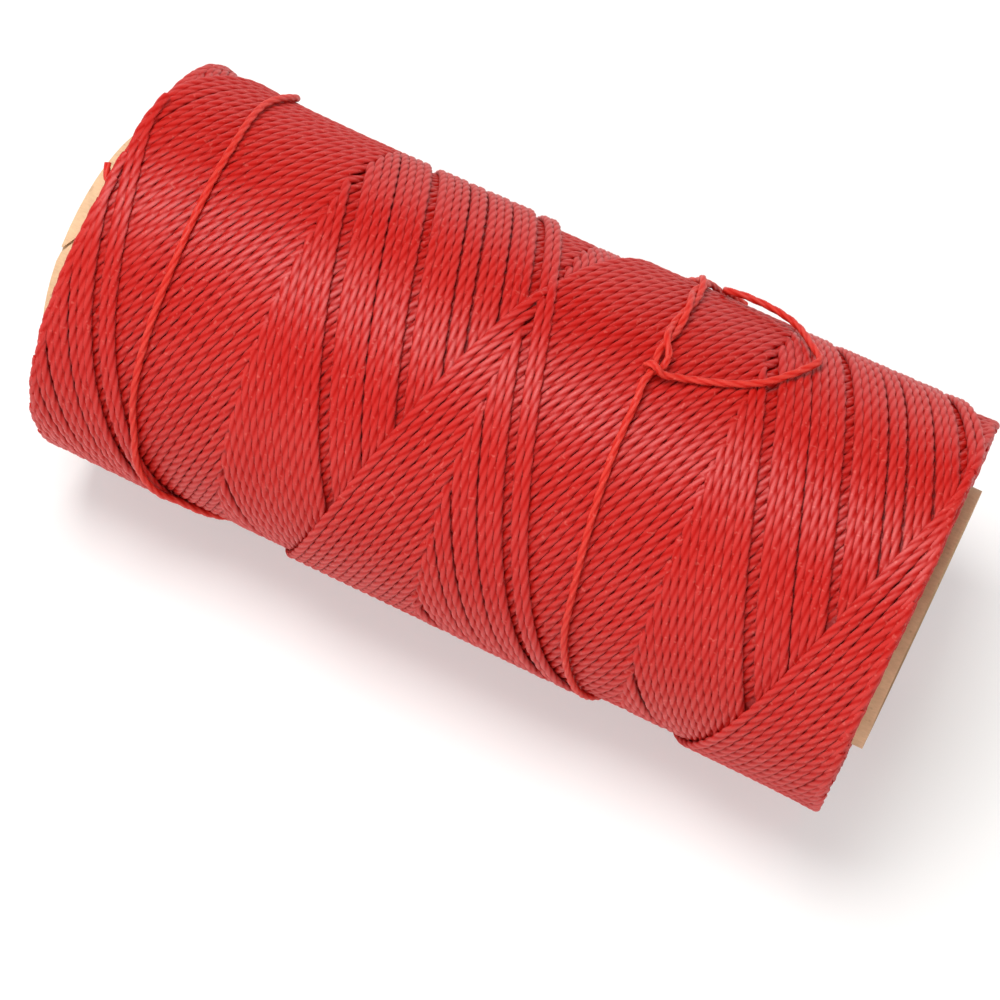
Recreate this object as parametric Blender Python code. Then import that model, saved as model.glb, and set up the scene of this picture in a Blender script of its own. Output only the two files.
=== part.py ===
"""Waxed thread spool: a spiral-wound paper tube carrying a cross-wound package of thick waxed cord.

Units are metres and +Z is up. The spool lies on its side with its axis along X. The origin is on the
surface it lies on, under the middle of the tube. An angle round the axis is measured from -Y towards +Z,
so 90 degrees is the top of the winding and 270 degrees is the line it rests on.
"""

import math

import bmesh
import bpy
import numpy as np
from mathutils import Vector

# ---------------------------------------------------------------- driving dimensions

WINDING_LENGTH = 0.115          # cord package, end face to end face
WINDING_DIAMETER = 0.056        # over the outermost turns
TUBE_OUTER_DIAMETER = 0.037     # paper tube, over its outer ply
LEFT_PROTRUSION = 0.0046        # bare tube beyond the winding at -X
RIGHT_PROTRUSION = 0.0017       # bare tube beyond the winding at +X

LINER_THICKNESS = 0.00030       # innermost paper ply
BODY_PLY_THICKNESS = 0.00080    # thick middle ply that gives the tube its strength
WRAP_THICKNESS = 0.00030        # outermost paper ply
PLY_CLEARANCE = 0.00030         # glue line between neighbouring plies
STRIP_WIDTH = 0.060             # width of the paper strips that the tube is wound from
SEAM_GAP = 0.00040              # butt joint between neighbouring turns of a strip

CORD_DIAMETER = 0.0011
TUBE_TO_CORD_CLEARANCE = 0.00030
LAYER_CLEARANCE = 0.00045       # between cords that cross
CONTACT_CLEARANCE = 0.00030     # between a cord and the plain body under it, or two cut faces
SHOULDER_RADIUS = 0.0012        # rounded outer corners of the inner layers
END_MARGIN = 0.0001             # outermost turn of a pass, inside the winding's end face
REST_FLAT_DEPTH = 0.1 * CORD_DIAMETER

PASSES = 11                     # traverses of the outer layer, left to right or back
STEPS_PER_TURN = 24
STEPS_PER_PASS = 46             # just under two turns, so that each pass falls beside the last
REVERSAL_STEPS = 2              # steps on each side of a reversal where the path curves round
CLIMB_STEPS = 1.5               # steps on each side of a reversal where the cord changes level
LEAD_OUT_STEPS = 3              # steps of the outer layer past its last reversal

KNOT_X = 0.0168                 # from the middle of the winding
TWIN_SPACING = 0.0016           # between the two strands that run from the knot over the top
STUB_LENGTH = 0.0026            # cut end of the cord standing out of the left end face
STUB_ANGLE = 80.0

RING_SEGMENTS = 64
STRIP_SEGMENTS = 48
SHOULDER_SEGMENTS = 3
CORD_SHARP_ANGLE = 70           # degrees between faces of a cord that stay a sharp edge
BODY_SHARP_ANGLE = 40           # the same on the tube and the inner layers
GAP_SAMPLES = 6                 # places on each step of a cord where its gap to itself is taken

# ---------------------------------------------------------------- worked-out dimensions

CORD_RADIUS = CORD_DIAMETER / 2
TUBE_RADIUS = TUBE_OUTER_DIAMETER / 2
TUBE_LENGTH = LEFT_PROTRUSION + WINDING_LENGTH + RIGHT_PROTRUSION
WINDING_X = (LEFT_PROTRUSION - RIGHT_PROTRUSION) / 2      # middle of the winding
WINDING_LEFT = WINDING_X - WINDING_LENGTH / 2
WINDING_RIGHT = WINDING_X + WINDING_LENGTH / 2

# Every turn is a chain of straight steps whose corners share one set of angles, so the cord's path is a
# prism. FACET is how far the middle of a step lies inside its corners.
STEP = 2 * math.pi / STEPS_PER_TURN
FACET = math.cos(STEP / 2)
LEVEL_STEP = (CORD_DIAMETER + LAYER_CLEARANCE) / FACET
OUTER_LEVEL = WINDING_DIAMETER / 2 - CORD_RADIUS
INNER_LEVEL = OUTER_LEVEL - LEVEL_STEP
OVER_LEVEL = OUTER_LEVEL + LEVEL_STEP
CORE_RADIUS = INNER_LEVEL * FACET - CORD_RADIUS - CONTACT_CLEARANCE
BORE_RADIUS = TUBE_RADIUS - WRAP_THICKNESS - BODY_PLY_THICKNESS - LINER_THICKNESS - 2 * PLY_CLEARANCE

# The winding rests on the middles of the steps at its lowest line, cut flat.
AXIS_HEIGHT = OUTER_LEVEL * FACET + CORD_RADIUS - REST_FLAT_DEPTH
REST_ANGLE = 1.5 * math.pi


def material(name, colour, roughness, metallic=0.0):
    """Make a plain Principled material."""
    made = bpy.data.materials.new(name)
    made.use_nodes = True
    shader = made.node_tree.nodes["Principled BSDF"]
    shader.inputs["Base Color"].default_value = (*colour, 1.0)
    shader.inputs["Roughness"].default_value = roughness
    shader.inputs["Metallic"].default_value = metallic
    made.diffuse_color = (*colour, 1.0)
    return made


def add_object(name, data, finish):
    """Link new object data into the scene under the sub-part's name."""
    made = bpy.data.objects.new(name, data)
    data.materials.append(finish)
    bpy.context.scene.collection.objects.link(made)
    return made


def place(x, angle, radius):
    """Point at a place along and round the spool's axis."""
    return Vector((x, -radius * math.cos(angle), AXIS_HEIGHT + radius * math.sin(angle)))


# ---------------------------------------------------------------- paper tube

def paper_ply(name, outer_radius, thickness, seam_angle, finish):
    """One paper strip wound round the axis with butted edges and trimmed square at both tube ends."""
    half_length = TUBE_LENGTH / 2
    around = 2 * math.pi * (outer_radius - thickness / 2)
    lead = STRIP_WIDTH / math.sqrt(1 - (STRIP_WIDTH / around) ** 2)
    rise = lead / (2 * math.pi)
    trim = SEAM_GAP / rise
    first = (-half_length - lead) / rise + trim
    last = half_length / rise - trim
    corners = [first, -half_length / rise, (half_length - lead) / rise, last]
    grid = 2 * math.pi / STRIP_SEGMENTS
    steps = [n * grid for n in range(math.ceil(first / grid), math.floor(last / grid) + 1)]
    corners += [step for step in steps if min(abs(step - corner) for corner in corners) > grid / 8]
    work = bmesh.new()
    edges = []
    for turn in sorted(corners):
        low = max(-half_length, turn * rise + SEAM_GAP / 2)
        high = min(half_length, turn * rise + lead - SEAM_GAP / 2)
        edges.append([work.verts.new(place(x, turn + seam_angle, outer_radius)) for x in (low, high)])
    for (low, high), (next_low, next_high) in zip(edges, edges[1:]):
        work.faces.new((low, next_low, next_high, high))
    bmesh.ops.recalc_face_normals(work, faces=work.faces)
    mesh = bpy.data.meshes.new(name)
    work.to_mesh(mesh)
    work.free()
    axis = Vector((0, 0, AXIS_HEIGHT))
    first_face = mesh.polygons[0]
    outward = first_face.center - axis
    outward.x = 0
    if first_face.normal.dot(outward) < 0:
        mesh.flip_normals()
    ply = add_object(name, mesh, finish)
    wall = ply.modifiers.new("thickness", "SOLIDIFY")
    wall.thickness = thickness
    wall.offset = -1.0
    wall.use_even_offset = True
    mesh.shade_smooth()
    mesh.set_sharp_from_angle(angle=math.radians(BODY_SHARP_ANGLE))
    return ply


def paper_tube(finish):
    """Three plies, one inside the other, each with its seam a third of a turn from the next."""
    radius = TUBE_RADIUS
    plies = (
        ("tube_outer_ply", WRAP_THICKNESS),
        ("tube_body_ply", BODY_PLY_THICKNESS),
        ("tube_liner_ply", LINER_THICKNESS),
    )
    for index, (name, thickness) in enumerate(plies):
        paper_ply(name, radius, thickness, index * 2 * math.pi / len(plies), finish)
        radius -= thickness + PLY_CLEARANCE


# ---------------------------------------------------------------- inner layers of cord

def winding_core(finish):
    """The inner layers, as one plain ring on the tube with rounded outer shoulders."""
    inner = TUBE_RADIUS + TUBE_TO_CORD_CLEARANCE
    shoulder = min(SHOULDER_RADIUS, (CORE_RADIUS - inner) / 2)
    profile = [(WINDING_LEFT, inner)]
    for side, end in ((-1, WINDING_LEFT), (1, WINDING_RIGHT)):
        for part in range(SHOULDER_SEGMENTS + 1):
            share = part / SHOULDER_SEGMENTS
            turn = math.pi / 2 * (share if side < 0 else 1 - share)
            across = end - side * shoulder * (1 - math.cos(turn))
            profile.append((across, CORE_RADIUS - shoulder * (1 - math.sin(turn))))
    profile.append((WINDING_RIGHT, inner))
    work = bmesh.new()
    ring = [work.verts.new(place(x, 0, radius)) for x, radius in profile]
    edges = [work.edges.new((a, b)) for a, b in zip(ring, ring[1:] + ring[:1])]
    bmesh.ops.spin(work, geom=ring + edges, cent=(0, 0, AXIS_HEIGHT), axis=(1, 0, 0),
                   angle=2 * math.pi, steps=RING_SEGMENTS, use_merge=True)
    bmesh.ops.remove_doubles(work, verts=work.verts, dist=1e-6)
    bmesh.ops.recalc_face_normals(work, faces=work.faces)
    mesh = bpy.data.meshes.new("winding_core")
    work.to_mesh(mesh)
    work.free()
    mesh.shade_smooth()
    mesh.set_sharp_from_angle(angle=math.radians(BODY_SHARP_ANGLE))
    return add_object("winding_core", mesh, finish)


# ---------------------------------------------------------------- cords

def cord(name, points, finish, bevel_resolution):
    """A round tube through the points, with closed ends, as a mesh."""
    curve = bpy.data.curves.new(name + "_path", "CURVE")
    curve.dimensions = "3D"
    curve.bevel_depth = CORD_RADIUS
    curve.bevel_resolution = bevel_resolution
    curve.use_fill_caps = True
    spline = curve.splines.new("POLY")
    spline.points.add(len(points) - 1)
    for target, point in zip(spline.points, points):
        target.co = (*point, 1.0)
    guide = bpy.data.objects.new(name + "_guide", curve)
    bpy.context.scene.collection.objects.link(guide)
    evaluated = guide.evaluated_get(bpy.context.evaluated_depsgraph_get())
    mesh = bpy.data.meshes.new_from_object(evaluated)
    bpy.data.objects.remove(guide)
    work = bmesh.new()
    work.from_mesh(mesh)
    bmesh.ops.remove_doubles(work, verts=work.verts, dist=1e-6)
    bmesh.ops.recalc_face_normals(work, faces=work.faces)
    work.to_mesh(mesh)
    work.free()
    mesh.materials.clear()
    mesh.name = name
    mesh.shade_smooth()
    mesh.set_sharp_from_angle(angle=math.radians(CORD_SHARP_ANGLE))
    return add_object(name, mesh, finish)


def smooth_route(route, spacing):
    """Points at about the given spacing on a smooth curve through the route's own points."""
    route = [Vector(point) for point in route]
    padded = [2 * route[0] - route[1]] + route + [2 * route[-1] - route[-2]]
    points = []
    for before, start, end, after in zip(padded, padded[1:], padded[2:], padded[3:]):
        count = max(1, round((end - start).length / spacing))
        for part in range(count):
            t = part / count
            bend = 2 * before - 5 * start + 4 * end - after
            twist = 3 * start - before - 3 * end + after
            points.append((2 * start + (end - before) * t + bend * t ** 2 + twist * t ** 3) / 2)
    points.append(route[-1])
    return points


def least_gap(points, diameter):
    """Least gap between a tube and itself, from points along it, leaving out what lies next along it."""
    samples = []
    for start, end in zip(points, points[1:]):
        samples += [start.lerp(end, part / GAP_SAMPLES) for part in range(GAP_SAMPLES)]
    places = np.array([tuple(point) for point in samples])
    travelled = np.concatenate(([0.0], np.cumsum(np.linalg.norm(np.diff(places, axis=0), axis=1))))
    least = math.inf
    for index, here in enumerate(places):
        apart = np.abs(travelled - travelled[index]) > 4 * diameter
        if apart.any():
            least = min(least, float(np.linalg.norm(places[apart] - here, axis=1).min()))
    return least - diameter


# ---------------------------------------------------------------- outer layer of the winding

LAYER_STEPS = PASSES * STEPS_PER_PASS + LEAD_OUT_STEPS
FIRST_ANGLE = REST_ANGLE + STEP / 2 - 2 * STEP      # corners lie half a step off the rest line


def layer_point(step):
    """Corner of the outer layer: it starts at the right end, and turns back at each end."""
    stroke = (WINDING_LENGTH - 2 * CORD_RADIUS - 2 * END_MARGIN) / (STEPS_PER_PASS - REVERSAL_STEPS)
    nearest = round(step / STEPS_PER_PASS)
    since = step - nearest * STEPS_PER_PASS
    lag = abs(since)
    if lag < REVERSAL_STEPS:
        lag = (lag ** 2 + REVERSAL_STEPS ** 2) / (2 * REVERSAL_STEPS)
    from_end = (lag - REVERSAL_STEPS / 2) * stroke
    at_right = nearest % 2 == 0
    reach = WINDING_LENGTH / 2 - CORD_RADIUS - END_MARGIN - from_end
    x = WINDING_X + (reach if at_right else -reach)
    towards_left = since if at_right else -since
    leftward = min(1.0, max(0.0, (CLIMB_STEPS + towards_left) / (2 * CLIMB_STEPS)))
    leftward = leftward ** 2 * (3 - 2 * leftward)
    radius = OUTER_LEVEL + (INNER_LEVEL - OUTER_LEVEL) * leftward
    return x, FIRST_ANGLE - step * STEP, radius


def outer_layer(finish):
    """The outer turns: leftward passes lie on the core, and rightward passes cross over them."""
    start = math.ceil(CLIMB_STEPS)
    points = [place(*layer_point(step)) for step in range(start, LAYER_STEPS + 1)]
    print("winding_outer_layer: %.1f turns, least gap to itself %.2f mm" % (
        (LAYER_STEPS - start) / STEPS_PER_TURN, 1000 * least_gap(points, CORD_DIAMETER)))
    layer = cord("winding_outer_layer", points, finish, 1)
    bpy.ops.mesh.primitive_cube_add(size=1, location=(0, 0, -CORD_DIAMETER))
    surface = bpy.context.object
    surface.name = "resting_surface_cutter"
    surface.scale = (2 * WINDING_LENGTH, 2 * WINDING_DIAMETER, 2 * CORD_DIAMETER)
    surface.hide_render = True
    surface.display_type = "WIRE"
    cut = layer.modifiers.new("rest_flat", "BOOLEAN")
    cut.operation = "DIFFERENCE"
    cut.object = surface
    return layer


# ---------------------------------------------------------------- last wrap, knot and tail

# Route of the last wrap, as (degrees round the axis, x from the middle of the winding). It leaves the left
# end, goes once round to the knot on top, once more round, and comes back to the knot beside itself.
WRAP_ROUTE = (
    (172.5, -0.0517), (157, -0.0487), (143, -0.0462), (120, -0.0464), (97, -0.0451), (66, -0.0439),
    (28, -0.0433), (10, -0.0422), (0, -0.0414), (-8, -0.0402), (-16, -0.0384), (-40, -0.0325),
    (-90, -0.0220), (-135, -0.0095),
    (-180, 0.0055), (-204, 0.0124), (-218, 0.0146), (-232, 0.0151), (-244, 0.0155), (-262.5, KNOT_X),
    (-277.5, KNOT_X), (-296, 0.0172), (-330, 0.0191), (-349, 0.0200), (-372, 0.0222), (-410, 0.0258),
    (-450, 0.0290), (-490, 0.0285), (-530, 0.0228), (-558, 0.0178), (-578, 0.0164), (-592, 0.0168),
    (-607.5, KNOT_X + TWIN_SPACING),
)
WRAP_END = -600.0               # degrees at which the last wrap leaves its route for the knot
KNOT_TURN = -270.0              # the knot's place along the last wrap, in degrees as above
LIFT_REACH = 8.0                # half the stretch that the knot holds off the winding, in degrees

# Route of the knot round the last wrap, and on into the tail, as (x, back along +Y, up) from the knot's
# middle, in hitch radii: it goes under the strand, comes up on its left and leaves over the top of it.
HITCH_ROUTE = (
    (1.00, 2.30, 0.00), (1.00, 1.60, 0.00), (0.98, 1.00, -0.22), (0.62, 0.50, -0.80), (0.0, 0.20, -1.00),
    (-0.70, 0.02, -0.72), (-1.00, -0.12, 0.00), (-0.70, -0.25, 0.72), (0.0, -0.33, 1.02), (0.75, -0.36, 0.98),
    (1.45, -0.36, 0.62),
)
TAIL_ROUTE = (
    (0.0217, 92.2, 0.0009), (0.0244, 94.3, 0.0), (0.0272, 97.1, 0.0), (0.0298, 101.0, 0.0),
    (0.0320, 107.0, 0.0), (0.0335, 112.2, 0.0), (0.0342, 116.3, 0.0), (0.0336, 119.6, 0.0),
    (0.0322, 123.2, 0.0), (0.0297, 130.5, 0.0001), (0.0276, 134.0, 0.0002), (0.0253, 136.3, 0.0003),
    (0.0230, 137.4, 0.0003), (0.0208, 137.9, 0.0002), (0.0190, 138.6, 0.0001), (0.0183, 141.0, 0.0),
    (0.0182, 146.0, 0.0), (0.0188, 152.0, 0.0), (0.0204, 158.0, 0.0),
)
HITCH_RADIUS = CORD_DIAMETER + LAYER_CLEARANCE
KNOT_HEIGHT = OUTER_LEVEL + 2 * CORD_RADIUS + CONTACT_CLEARANCE + HITCH_RADIUS
KNOT_LEVEL = KNOT_HEIGHT / FACET
KNOT_MIDDLE = Vector((WINDING_X + KNOT_X, 0, AXIS_HEIGHT + KNOT_HEIGHT))


def wrap_x(degrees):
    """Place of the last wrap along the axis, on a smooth curve through its route."""
    turns = [-angle for angle, _ in WRAP_ROUTE]
    places = [x for _, x in WRAP_ROUTE]
    index = min(max(int(np.searchsorted(turns, -degrees)), 1), len(turns) - 1)
    before, start, end, after = (min(max(index + n, 0), len(turns) - 1) for n in (-2, -1, 0, 1))
    span = turns[end] - turns[start]
    t = (-degrees - turns[start]) / span
    leaving = (places[end] - places[before]) / (turns[end] - turns[before]) * span
    arriving = (places[after] - places[start]) / (turns[after] - turns[start]) * span
    return ((2 * t ** 3 - 3 * t ** 2 + 1) * places[start] + (t ** 3 - 2 * t ** 2 + t) * leaving
            + (3 * t ** 2 - 2 * t ** 3) * places[end] + (t ** 3 - t ** 2) * arriving)


def wrap_level(degrees):
    """Distance of the last wrap from the axis: over the turns, but in among them where the spool rests."""
    from_rest = math.radians((degrees + 90 + 180) % 360 - 180)
    level = OVER_LEVEL
    if math.cos(from_rest) > 0:
        level = min(level, (AXIS_HEIGHT - CORD_RADIUS) / math.cos(from_rest))
    if abs(degrees - KNOT_TURN) <= LIFT_REACH:
        level = KNOT_LEVEL
    return level


def last_wrap(finish):
    """The slack last strand, from the end of the outer layer to the knot that holds it."""
    x, angle, level = layer_point(LAYER_STEPS)
    end = place(x, angle, level)
    heading = (end - place(*layer_point(LAYER_STEPS - 1))).normalized()
    points = [end + heading * CONTACT_CLEARANCE, end + heading * (CONTACT_CLEARANCE + CORD_DIAMETER)]
    step_degrees = math.degrees(STEP)
    degrees = WRAP_ROUTE[0][0] - step_degrees
    while degrees > WRAP_END:
        points.append(place(WINDING_X + wrap_x(degrees), math.radians(degrees), wrap_level(degrees)))
        degrees -= step_degrees
    arrival = KNOT_MIDDLE + Vector(HITCH_ROUTE[0]) * HITCH_RADIUS
    away = Vector((0, 1, 0))
    points += [arrival + away * (CORD_DIAMETER + CONTACT_CLEARANCE), arrival + away * CONTACT_CLEARANCE]
    print("last_wrap: length %.0f mm, least gap to itself %.2f mm" % (
        1000 * sum((b - a).length for a, b in zip(points, points[1:])), 1000 * least_gap(points, CORD_DIAMETER)))
    return cord("last_wrap", points, finish, 1)


def knot_and_tail(finish):
    """The hitch round the last wrap, and the loose loop that its end is left in."""
    knot = smooth_route([KNOT_MIDDLE + Vector(point) * HITCH_RADIUS for point in HITCH_ROUTE], CORD_RADIUS)
    tail = [place(WINDING_X + x, math.radians(degrees), OVER_LEVEL + rise) for x, degrees, rise in TAIL_ROUTE]
    cord("hitch_knot", knot, finish, 1)
    heading = (knot[-1] - knot[-2]).normalized()
    start = [knot[-1] + heading * CONTACT_CLEARANCE, knot[-1] + heading * (CONTACT_CLEARANCE + CORD_DIAMETER)]
    loop = start[:1] + smooth_route(start[1:] + tail, 2.5 * CORD_DIAMETER)
    print("tail_loop: length %.0f mm" % (1000 * sum((b - a).length for a, b in zip(loop, loop[1:]))))
    cord("tail_loop", loop, finish, 2)


def cut_end(finish):
    """The cord's first end, where it stands out of the left end face."""
    radius = CORE_RADIUS - SHOULDER_RADIUS - CORD_DIAMETER
    face = WINDING_LEFT - CONTACT_CLEARANCE
    places = [face, face - STUB_LENGTH / 2, face - STUB_LENGTH]
    cord("cut_end", [place(x, math.radians(STUB_ANGLE), radius) for x in places], finish, 2)


if __name__ == "__main__":
    for leftover in list(bpy.data.objects):
        bpy.data.objects.remove(leftover)
    kraft = material("kraft_paper", (0.55, 0.38, 0.24), 0.85)
    red = material("waxed_cord", (0.62, 0.035, 0.03), 0.5)
    paper_tube(kraft)
    winding_core(red)
    outer_layer(red)
    last_wrap(red)
    knot_and_tail(red)
    cut_end(red)
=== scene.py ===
"""Waxed thread spool: a cross-wound package of thick waxed cord on an open paper tube.

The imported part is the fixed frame. Each operator builds one piece, or one group of like pieces, round
it in the part's own places, and the stage operator adds the floor, the lamps and the camera. Angles
round the tube are measured from -Y towards +Z, so 90 degrees is the top and -90 the resting line.
"""

import math

import bmesh
import bpy
import numpy as np
from bpy.props import FloatProperty, FloatVectorProperty, IntProperty, PointerProperty
from mathutils import Matrix, Vector


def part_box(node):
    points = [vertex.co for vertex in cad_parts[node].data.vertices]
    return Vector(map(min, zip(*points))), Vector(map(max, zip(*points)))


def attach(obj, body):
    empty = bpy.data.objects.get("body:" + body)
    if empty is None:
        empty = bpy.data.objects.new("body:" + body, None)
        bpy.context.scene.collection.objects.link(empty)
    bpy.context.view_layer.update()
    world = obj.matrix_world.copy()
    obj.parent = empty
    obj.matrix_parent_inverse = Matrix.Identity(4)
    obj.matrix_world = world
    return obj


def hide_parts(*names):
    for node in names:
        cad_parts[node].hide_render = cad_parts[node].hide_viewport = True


bl_info = {
    "name": "Waxed Thread Spool",
    "version": (1, 0, 0),
    "blender": (4, 5, 0),
    "location": "View3D > Sidebar > Spool",
    "description": "Builds the wound cord, the loose end and the finishes of a waxed thread spool",
    "category": "Object",
}

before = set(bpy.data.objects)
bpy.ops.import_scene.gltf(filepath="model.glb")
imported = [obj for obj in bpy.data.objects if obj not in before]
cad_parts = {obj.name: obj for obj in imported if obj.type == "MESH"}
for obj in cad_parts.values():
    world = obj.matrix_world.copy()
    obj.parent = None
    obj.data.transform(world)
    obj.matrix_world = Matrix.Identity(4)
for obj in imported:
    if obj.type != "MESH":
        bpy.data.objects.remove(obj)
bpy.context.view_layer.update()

MM = 0.001
BODY = "root"

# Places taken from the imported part.
TUBE_LOW, TUBE_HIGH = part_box("tube_body_ply")
CORE_LOW, CORE_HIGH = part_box("winding_core")
LAYER_LOW, LAYER_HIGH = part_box("winding_outer_layer")
AXIS_HEIGHT = (TUBE_LOW.z + TUBE_HIGH.z) / 2
LEFT_END = CORE_LOW.x
WINDING_LENGTH = CORE_HIGH.x - CORE_LOW.x
MIDDLE_X = (CORE_LOW.x + CORE_HIGH.x) / 2
PACKAGE_RADIUS = LAYER_HIGH.z - AXIS_HEIGHT
TUBE_RADIUS = (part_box("tube_outer_ply")[1].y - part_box("tube_outer_ply")[0].y) / 2


# ---------------------------------------------------------------- sizes and colours


class WindingSizes(bpy.types.PropertyGroup):
    """Sizes of the cord and of the pattern it is wound in."""

    cord_diameter: FloatProperty(
        name="Cord Diameter", description="Width of the waxed cord over its plies",
        default=1.1 * MM, unit="LENGTH")
    pressed_width: FloatProperty(
        name="Pressed Width", description="Width of a wound strand, pressed between its neighbours",
        default=1.32 * MM, unit="LENGTH")
    pressed_height: FloatProperty(
        name="Pressed Height", description="Height of a wound strand, as a share of its width",
        default=0.8, min=0.5, max=1.0)
    lay_length: FloatProperty(
        name="Lay Length", description="Length of cord in which a ply goes round once",
        default=7.4 * MM, unit="LENGTH")
    plies: IntProperty(
        name="Plies", description="Yarns twisted together in the cord", default=3, min=2, max=6)
    groove_depth: FloatProperty(
        name="Groove Depth", description="Depth of the groove between two plies, as a share of the radius",
        default=0.24, min=0.0, max=0.6)
    profile_points: IntProperty(
        name="Profile Points", description="Points round the cord's cross section", default=12, min=6)
    strands_per_cover: IntProperty(
        name="Strands per Cover", description="Strands of one direction that close the surface once",
        default=48, min=8)
    advance: FloatProperty(
        name="Advance", description="Share of the winding's length that one turn of the cord travels",
        default=0.512)
    seed: IntProperty(name="Seed", description="Fixed seed of the hand-made unevenness", default=7)


class FinishColours(bpy.types.PropertyGroup):
    """Colours of the cord and of the paper tube."""

    cord: FloatVectorProperty(
        name="Cord", description="Colour on the crests of the waxed cord", subtype="COLOR",
        size=3, default=(0.52, 0.009, 0.005), min=0.0, max=1.0)
    # Painted light: the loose cord's crests are the cord's red painted lighter, as if lit more than the
    # wound strands.
    lit_loose_cord: FloatVectorProperty(
        name="Loose Cord", description="Colour on the crests of the cord that nothing presses",
        subtype="COLOR", size=3, default=(0.62, 0.036, 0.022), min=0.0, max=1.0)
    # Painted shade: this dark red stands for the shade down between the plies and on the inner layers; the
    # filament lines also take a share of it.
    cord_shade_and_filaments: FloatVectorProperty(
        name="Cord Groove", description="Colour down between the plies", subtype="COLOR",
        size=3, default=(0.40, 0.004, 0.002), min=0.0, max=1.0)
    wax: FloatVectorProperty(
        name="Wax", description="Colour of the thin film of wax", subtype="COLOR",
        size=3, default=(0.85, 0.25, 0.20), min=0.0, max=1.0)
    paper: FloatVectorProperty(
        name="Paper", description="Colour of the kraft paper", subtype="COLOR",
        size=3, default=(0.80, 0.56, 0.33), min=0.0, max=1.0)
    # A darker paper colour: the tone of the fibres, clouds and flecks, and the painted shade on the inner
    # plies.
    paper_fibre_and_shade: FloatVectorProperty(
        name="Paper Edge", description="Colour of the cut edges of the paper plies", subtype="COLOR",
        size=3, default=(0.40, 0.25, 0.14), min=0.0, max=1.0)


class StageSizes(bpy.types.PropertyGroup):
    """Camera and floor."""

    lens: FloatProperty(name="Lens", description="Focal length in millimetres", default=92.88)
    floor_size: FloatProperty(
        name="Floor Size", description="Width of the pale floor", default=6.0, unit="LENGTH")
    floor: FloatVectorProperty(
        name="Floor", description="Colour of the floor", subtype="COLOR",
        size=3, default=(0.965, 0.955, 0.935), min=0.0, max=1.0)


class SpoolSettings(bpy.types.PropertyGroup):
    """Everything that a user would change."""

    winding: PointerProperty(type=WindingSizes)
    finish: PointerProperty(type=FinishColours)
    stage: PointerProperty(type=StageSizes)


# ---------------------------------------------------------------- the winding pattern

# A slot is a narrow gap beside a strand, by the number of strands laid after it, in strand widths.
SLOTS = {2: 1.1, 5: 0.25, 8: 0.35, 10: 0.3, 14: 1.1, 18: 0.2, 22: 1.4, 36: 0.6}
CAMERA_LINE = 1 / 6  # turns from the -Y side to the line that the turns are counted from
NEWEST_RIGHTWARD = 0.106  # turn at which the newest strand towards the right leaves the left end
NEWEST_LEFTWARD = 0.145  # turn at which the newest strand towards the left reaches the left end
RIGHT_DWELL = 0.05  # turns that the cord stays at the right end
LEFT_DWELL = 0.055
DOUBLE_PASSES = 232  # trips to the right end and back, from the tube to the surface
INNER_GAP = 0.3 * MM  # between the tube and the first layer
COVER_RELIEF = 0.85 * MM  # step that one direction's cover makes at its newest strand

CELL = 0.25 * MM
AROUND = 704  # cells round the package
MARGIN = 1.5 * MM  # map beyond each end of the winding
ALONG = round((WINDING_LENGTH + 2 * MARGIN) / CELL)
BEDDING = 0.06 * MM  # a strand sinks this far into what it lies on
TENSION_REACH = 3  # steps over which a taut strand bridges a dip
UNEVENNESS = 0.22 * MM  # a strand stays within this of the height that the pattern gives it
FRONT_WIDTH = 5  # steps over which a strand climbs onto the newest strands of the other direction
WANDER = 0.05 * MM
WANDER_LENGTH = 16 * MM
TURNING_BLUR = 8  # steps over which a strand turns round at an end
MIRRORED_STEPS = 40  # of a pass, added beyond each of its ends before that blur
TURNING_WANDER = 0.18 * MM
TURNING_REACH = 12 * MM
FOOTING_SHARE = 0.76  # of a strand's radius, on which it rests on each side
BACK_SHARE = 0.95  # of a strand's radius, over which it raises the surface
# Each pair is for the left end and the right.
END_INSET = (-0.4 * MM, 0.4 * MM)  # how far the strands turn round inside the end
SIDE_INSET = (1.9 * MM, -0.4 * MM)  # what one side of the package adds to that
INSET_SIDE = 0.033  # turn of that side's middle
INSET_REACH = 0.083  # turns from there in which it fades
END_RISE = (0.9 * MM, 0.4 * MM)  # how much thicker the winding is at the end
END_LEAN = (0.9 * MM, 0.0)  # what its far side adds to that, and its near side lacks
FAR_SIDE = 0.25  # turn of the far side
END_RISE_REACH = 6 * MM
KEPT_BURIED = 6  # steps of a strand kept on each side under its neighbours


def blurred(values, width):
    """A row of values under a bell of this width, in steps."""
    reach = int(3 * width + 1)
    bell = np.exp(-0.5 * (np.arange(-reach, reach + 1) / width) ** 2)
    return np.convolve(np.pad(values, reach, mode="edge"), bell / bell.sum(), mode="valid")


def highest_near(values, reach):
    """The highest value within reach steps of each place."""
    padded = np.pad(values, reach, mode="edge")
    return np.lib.stride_tricks.sliding_window_view(padded, 2 * reach + 1).max(axis=1)


def wandering(random, count, size, knots):
    """A smooth random row of values."""
    heights = random.normal(0, size, knots + 2)
    place = np.linspace(0, knots, count)
    low = place.astype(int)
    share = place - low
    share = share * share * (3 - 2 * share)
    return heights[low] * (1 - share) + heights[low + 1] * share


def column_of(x):
    """The map's column at a distance from the winding's left end."""
    return np.clip(((x + MARGIN) / CELL).astype(int), 0, ALONG - 1)


def cell_round(turn):
    """The map's cell at a turn round the package."""
    return np.floor(turn * AROUND).astype(int) % AROUND


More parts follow.
